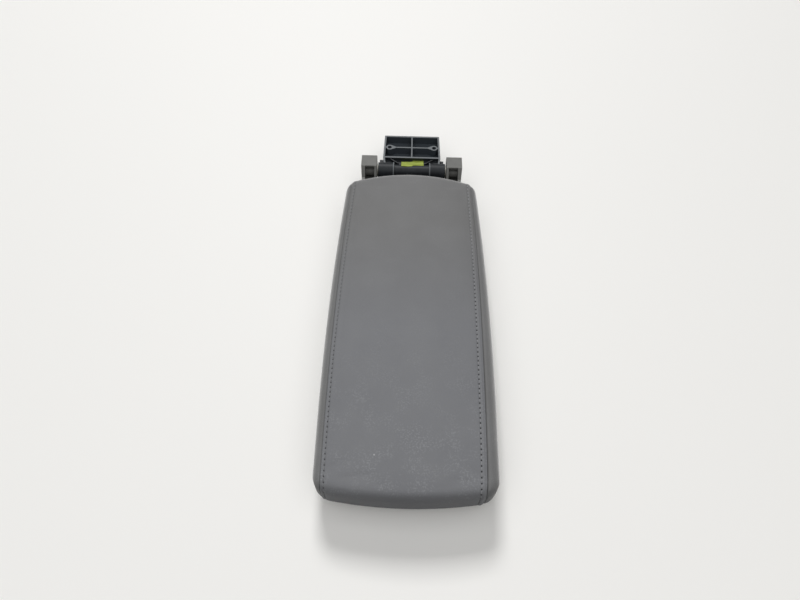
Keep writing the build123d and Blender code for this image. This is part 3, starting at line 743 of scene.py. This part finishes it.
beads = []
for side in (-1, 1):
    near = np.flatnonzero((leather_place[:, 0] * side > 0) & (abs(leather_stitch) < row_reach))
    first = int(hem_length / stitch_pitch) + 1
    last = int((leather_along[near].max() - hem_length) / stitch_pitch) - 1
    for i in range(first, last):
        run = (i + 0.5) * stitch_pitch
        middle, facing = on_stitch_line(near, run)
        ahead = on_stitch_line(near, run + 1)[0]
        behind = on_stitch_line(near, run - 1)[0]
        forwards = Vector(ahead - behind).normalized()
        sideways = facing.cross(forwards).normalized()
        upwards = forwards.cross(sideways)
        bead = stitch.copy()
        bead.data = stitch.data.copy()
        turn = Matrix((forwards, sideways, upwards)).transposed().to_4x4()
        bead.data.transform(Matrix.Translation(Vector(middle) + upwards * stitch_sit * mm) @ turn)
        bpy.context.collection.objects.link(bead)
        beads.append(bead)
bpy.data.objects.remove(stitch)
bpy.ops.object.select_all(action="DESELECT")
for bead in beads:
    bead.select_set(True)
bpy.context.view_layer.objects.active = beads[0]
bpy.ops.object.join()
top_stitching = bpy.context.object
top_stitching.name = "top_stitching"
top_stitching.data.shade_smooth()
top_stitching.data.materials.append(thread)
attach(top_stitching, "lid")


# Grey plastics: the lower shell and the latch paddle are moulded polypropylene with a fine spark-eroded
# grain, which keeps them dull. Edges are softened a little, as moulds leave them. On all plastics the
# grain is drawn several times as coarse as the real one, so that it shows.
cloud_width = 9.0
cloud_spread = (0.35, 0.65)
grain_height = 0.06
grain_relief = 0.3
edge_radius = 0.4


def plastic_finish(name, dark, pale, roughness, grain):
    """Moulded plastic between two close tones, with a fine surface grain given in millimetres."""
    finish = bpy.data.materials.new(name)
    finish.use_nodes = True
    tree = finish.node_tree
    surface = tree.nodes["Principled BSDF"]
    place = add_node(tree, "ShaderNodeTexCoord", {}).outputs["Object"]
    broad = {"Vector": place, "Scale": 1 / (cloud_width * mm), "Detail": 6.0}
    cloud = add_node(tree, "ShaderNodeTexNoise", broad).outputs["Fac"]
    limits = {"Value": cloud, "From Min": cloud_spread[0], "From Max": cloud_spread[1]}
    share = add_node(tree, "ShaderNodeMapRange", limits).outputs[0]
    tones = {0: share, 6: linear(dark), 7: linear(pale)}
    colour = add_node(tree, "ShaderNodeMix", tones, data_type="RGBA").outputs[2]
    fine = {"Vector": place, "Scale": 1 / (grain * mm), "Detail": 2.0}
    grit = add_node(tree, "ShaderNodeTexNoise", fine).outputs["Fac"]
    edges = add_node(tree, "ShaderNodeBevel", {"Radius": edge_radius * mm}, samples=4).outputs["Normal"]
    rough = {"Height": grit, "Strength": grain_relief, "Distance": grain_height * mm, "Normal": edges}
    grained = add_node(tree, "ShaderNodeBump", rough).outputs["Normal"]
    tree.links.new(colour, surface.inputs["Base Color"])
    tree.links.new(grained, surface.inputs["Normal"])
    surface.inputs["Roughness"].default_value = roughness
    return finish


def dress(names, finish):
    """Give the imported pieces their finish."""
    for name in names:
        nodes[name].material_slots[0].material = finish


grey_plastic = plastic_finish("grained_grey_polypropylene", "#636360", "#6a6a67", roughness=0.58, grain=0.7)
dress(("lower_shell", "latch_lever"), grey_plastic)


# Hinge base: moulded in black glass-filled nylon, satin on the barrel. The flat tops of its ribs and walls
# and the two collars of the barrel carry a painted highlight, and the screw plate is painted paler, which is
# painted light that lifts the shade in its wells.
nylon_gloss = 0.25
rib_top = 14.2
# Painted highlight: flat faces within this band of the rib-top height are painted pale
highlight_band = 0.3
flat_faces = 0.95
plate_behind_axis = 16.5
collar_radius = 9.7
collar_depth = 0.15
collar_from_middle = 19.85
collar_half_width = 0.7
# Tone of the painted highlights, and the paler plate tone that is painted light in its shaded wells
painted_highlight_tone = "#686c6f"
plate_painted_light_tone = "#42484e"

nylon_name = "satin_black_glass_filled_nylon"
black_plastic = plastic_finish(nylon_name, "#1f2226", "#292d31", roughness=0.5, grain=0.9)
tree = black_plastic.node_tree
surface = tree.nodes["Principled BSDF"]
surface.inputs["Specular IOR Level"].default_value = nylon_gloss

base_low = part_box("hinge_base")[0].z
hinge_axis = Vector(frame["record"]["behaviour"]["joints"][0]["pos_m"])
coordinates = add_node(tree, "ShaderNodeTexCoord", {})
place = coordinates.outputs["Object"]
part = add_node(tree, "ShaderNodeSeparateXYZ", {0: place}).outputs
facing = add_node(tree, "ShaderNodeSeparateXYZ", {0: coordinates.outputs["Normal"]}).outputs
behind = add_node(tree, "ShaderNodeMath", {0: part["Y"], 1: hinge_axis.y}, operation="SUBTRACT").outputs[0]
aside = add_node(tree, "ShaderNodeMath", {0: part["X"]}, operation="ABSOLUTE").outputs[0]
section = add_node(tree, "ShaderNodeVectorMath", {0: place, 1: (0, 1, 1)}, operation="MULTIPLY")
to_axis = {0: section.outputs[0], 1: (0, hinge_axis.y, hinge_axis.z)}
reach = add_node(tree, "ShaderNodeVectorMath", to_axis, operation="DISTANCE").outputs["Value"]
on_plate, flat, at_top, on_rim, at_collar = (
    add_node(tree, "ShaderNodeMath", {0: value, 1: limit, 2: slack}, operation=test).outputs[0]
    for test, value, limit, slack in (
        ("GREATER_THAN", behind, plate_behind_axis * mm, 0.0),
        ("GREATER_THAN", facing["Z"], flat_faces, 0.0),
        ("COMPARE", part["Z"], base_low + rib_top * mm, highlight_band * mm),
        ("COMPARE", reach, collar_radius * mm, collar_depth * mm),
        ("COMPARE", aside, collar_from_middle * mm, collar_half_width * mm),
    )
)
colour = surface.inputs["Base Color"].links[0].from_socket
# The whole screw plate is painted paler (painted light), then the flat rib tops and the collar rims get a
# painted highlight
for first, second, tone in (
    (on_plate, 1.0, plate_painted_light_tone),
    (flat, at_top, painted_highlight_tone),
    (on_rim, at_collar, painted_highlight_tone),
):
    share = add_node(tree, "ShaderNodeMath", {0: first, 1: second}, operation="MULTIPLY").outputs[0]
    mixed = {0: share, 6: colour, 7: linear(tone)}
    colour = add_node(tree, "ShaderNodeMix", mixed, data_type="RGBA").outputs[2]
tree.links.new(colour, surface.inputs["Base Color"])
dress(("hinge_base",), black_plastic)


# Hidden plastics: the carrier plate is plain black polypropylene under the foam. The hinge bushes are
# turned from natural acetal, pale and slightly waxy, and pushed into the ends of the barrel.
carrier_plastic = plastic_finish("plain_black_polypropylene", "#303132", "#383939", roughness=0.5, grain=1.2)
acetal = plastic_finish("natural_acetal", "#c9c5b9", "#d6d2c7", roughness=0.4, grain=1.0)
dress(("pad_carrier",), carrier_plastic)
dress(("hinge_bush_left", "hinge_bush_right"), acetal)


# Rubber buffers: black natural rubber plugs with a dull bloom, pressed into the underside of the shell
# to stop the lid softly on the console.
rubber = plastic_finish("dull_black_rubber", "#222223", "#2b2b2c", roughness=0.8, grain=0.6)
dress(("buffer_front_left", "buffer_front_right", "buffer_rear_left", "buffer_rear_right"), rubber)


# Steel: zinc-plated pins and screws and oiled spring wire, bright but not polished. The latch spring is wound
# anew from round wire.
plating_cloud = 2.0
plating_roughness = (0.25, 0.45)
wire_radius = 0.45
wire_sides = 10
coil_turns = 5
coil_sides = 16

steel = bpy.data.materials.new("zinc_plated_steel")
steel.use_nodes = True
tree = steel.node_tree
surface = tree.nodes["Principled BSDF"]
place = add_node(tree, "ShaderNodeTexCoord", {}).outputs["Object"]
blotches = {"Vector": place, "Scale": 1 / (plating_cloud * mm), "Detail": 4.0}
cloud = add_node(tree, "ShaderNodeTexNoise", blotches).outputs["Fac"]
limits = {"Value": cloud, "To Min": plating_roughness[0], "To Max": plating_roughness[1]}
tree.links.new(add_node(tree, "ShaderNodeMapRange", limits).outputs[0], surface.inputs["Roughness"])
surface.inputs["Base Color"].default_value = linear("#b9babb")
surface.inputs["Metallic"].default_value = 1.0
dress(("shell_screws", "latch_pin", "hinge_pin", "hinge_spring_left", "hinge_spring_right"), steel)

coil_low, coil_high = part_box("latch_spring")
coil_radius = (coil_high.x - coil_low.x) / 2 - wire_radius * mm
coil_middle = Vector((0, (coil_low.y + coil_high.y) / 2, coil_low.z + wire_radius * mm))
bpy.ops.object.select_all(action="DESELECT")
bpy.ops.mesh.primitive_circle_add(vertices=wire_sides, radius=wire_radius * mm, fill_type="NOTHING")
coil = bpy.context.object
coil.name = "latch_return_spring"
coil.data.transform(Matrix.Translation((coil_radius, 0, 0)) @ Matrix.Rotation(pi / 2, 4, "X"))
wind = coil.modifiers.new("wind", "SCREW")
wind.axis = "Z"
wind.angle = 2 * pi
wind.screw_offset = (coil_high.z - coil_low.z - 2 * wire_radius * mm) / coil_turns
wind.iterations = coil_turns
wind.steps = wind.render_steps = coil_sides
bpy.ops.object.modifier_apply(modifier=wind.name)
coil.data.transform(Matrix.Translation(coil_middle))
bpy.ops.object.mode_set(mode="EDIT")
bpy.ops.mesh.select_all(action="SELECT")
bpy.ops.mesh.fill_holes(sides=0)
bpy.ops.mesh.normals_make_consistent(inside=False)
bpy.ops.object.mode_set(mode="OBJECT")
coil.data.shade_smooth()
coil.data.materials.append(steel)
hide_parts("latch_spring")
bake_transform(coil)


# Marking tape: a strip of yellow-green paper tape stuck on the neck of the hinge base and up over its
# barrel. It was torn and stuck again, so it has a step in the middle, and it lies slightly wavy.
tape_paper_thickness = 0.25
tape_rear = 171.7
tape_front = 158.0
tape_step = 1.0
step_sharpness = 12
tape_wave = 0.12
waves_across = 7
waves_along = 3
edge_wave = 0.15
edge_waves = 9
bridge_rear = 167.2
barrel_radius = 7.0
tape_columns = 40
tape_rows = 24

tape_paper = plastic_finish("yellow_green_paper_tape", "#8f9d3c", "#a1af4a", roughness=0.7, grain=0.5)
bpy.ops.object.select_all(action="DESELECT")
bpy.ops.mesh.primitive_grid_add(x_subdivisions=tape_columns, y_subdivisions=tape_rows)
tape = bpy.context.object
tape.name = "tape_strip"
tape_low, tape_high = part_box("marking_tape")
axis_y, axis_z = hinge_axis.y / mm, hinge_axis.z / mm
middle = (tape_low.x + tape_high.x) / 2
half_length = (tape_high.x - tape_low.x) / 2
neck_z = tape_low.z / mm + tape_wave
bridge_front = axis_y + barrel_radius * cos(pi / 4)
bridge_top = axis_z + barrel_radius * sin(pi / 4) + 2 * tape_wave
for v in tape.data.vertices:
    across, share = v.co.x, (v.co.y + 1) / 2
    y = tape_front + (tape_rear - tape_front) * share + tape_step * np.tanh(step_sharpness * across)
    y += edge_wave * sin(edge_waves * across) * (2 * share - 1)
    if y < bridge_front:
        z = axis_z + 2 * tape_wave + (barrel_radius**2 - (y - axis_y) ** 2) ** 0.5
    else:
        z = max(neck_z, np.interp(y, (bridge_front, bridge_rear), (bridge_top, neck_z)))
    z += tape_wave * sin(waves_across * across + waves_along * share)
    v.co = (middle + across * half_length, y * mm, z * mm)
tape.data.update()
thicken = tape.modifiers.new("thicken", "SOLIDIFY")
thicken.thickness = tape_paper_thickness * mm
thicken.offset = 1
bpy.context.view_layer.objects.active = tape
bpy.ops.object.modifier_apply(modifier=thicken.name)
tape.data.shade_smooth()
tape.data.materials.append(tape_paper)
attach(tape, "base")
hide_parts("marking_tape")


# Size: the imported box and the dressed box, kept side by side.
low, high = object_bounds()
